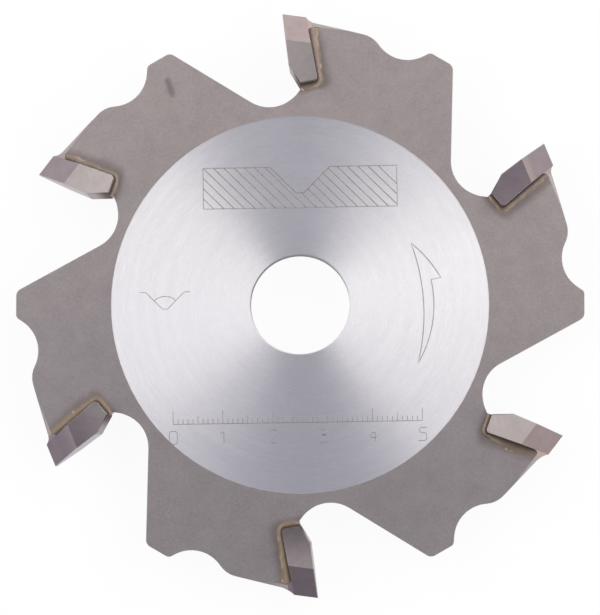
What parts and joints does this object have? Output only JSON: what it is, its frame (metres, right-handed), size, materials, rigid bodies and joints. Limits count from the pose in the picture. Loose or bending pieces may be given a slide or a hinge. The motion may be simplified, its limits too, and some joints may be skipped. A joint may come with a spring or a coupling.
{
  "type": "circular saw blade",
  "caption": "Thick steel saw blade for cutting V-grooves in board, with wide brazed carbide tips, chip limiters, gullets and a plain bore",
  "frame": {"origin": "centre of the bore, at the middle of the plate's thickness", "axes": "+Z is the blade's axis; the first tooth's cutting edge is on +Y; seen from +Z the blade cuts anticlockwise"},
  "size_m": [0.1142, 0.118, 0.014],
  "materials": {
    "plate_steel": "blasted grey, with a ground land round the bore",
    "carbide": "ground",
    "braze": "matte, as brazed"
  },
  "bodies": {
    "root": {"blade_body": "plate_steel", "carbide_tip_1": "carbide", "carbide_tip_2": "carbide", "carbide_tip_3": "carbide", "carbide_tip_4": "carbide", "carbide_tip_5": "carbide", "carbide_tip_6": "carbide", "braze_seam_1": "braze", "braze_seam_2": "braze", "braze_seam_3": "braze", "braze_seam_4": "braze", "braze_seam_5": "braze", "braze_seam_6": "braze"}
  },
  "joints": []
}
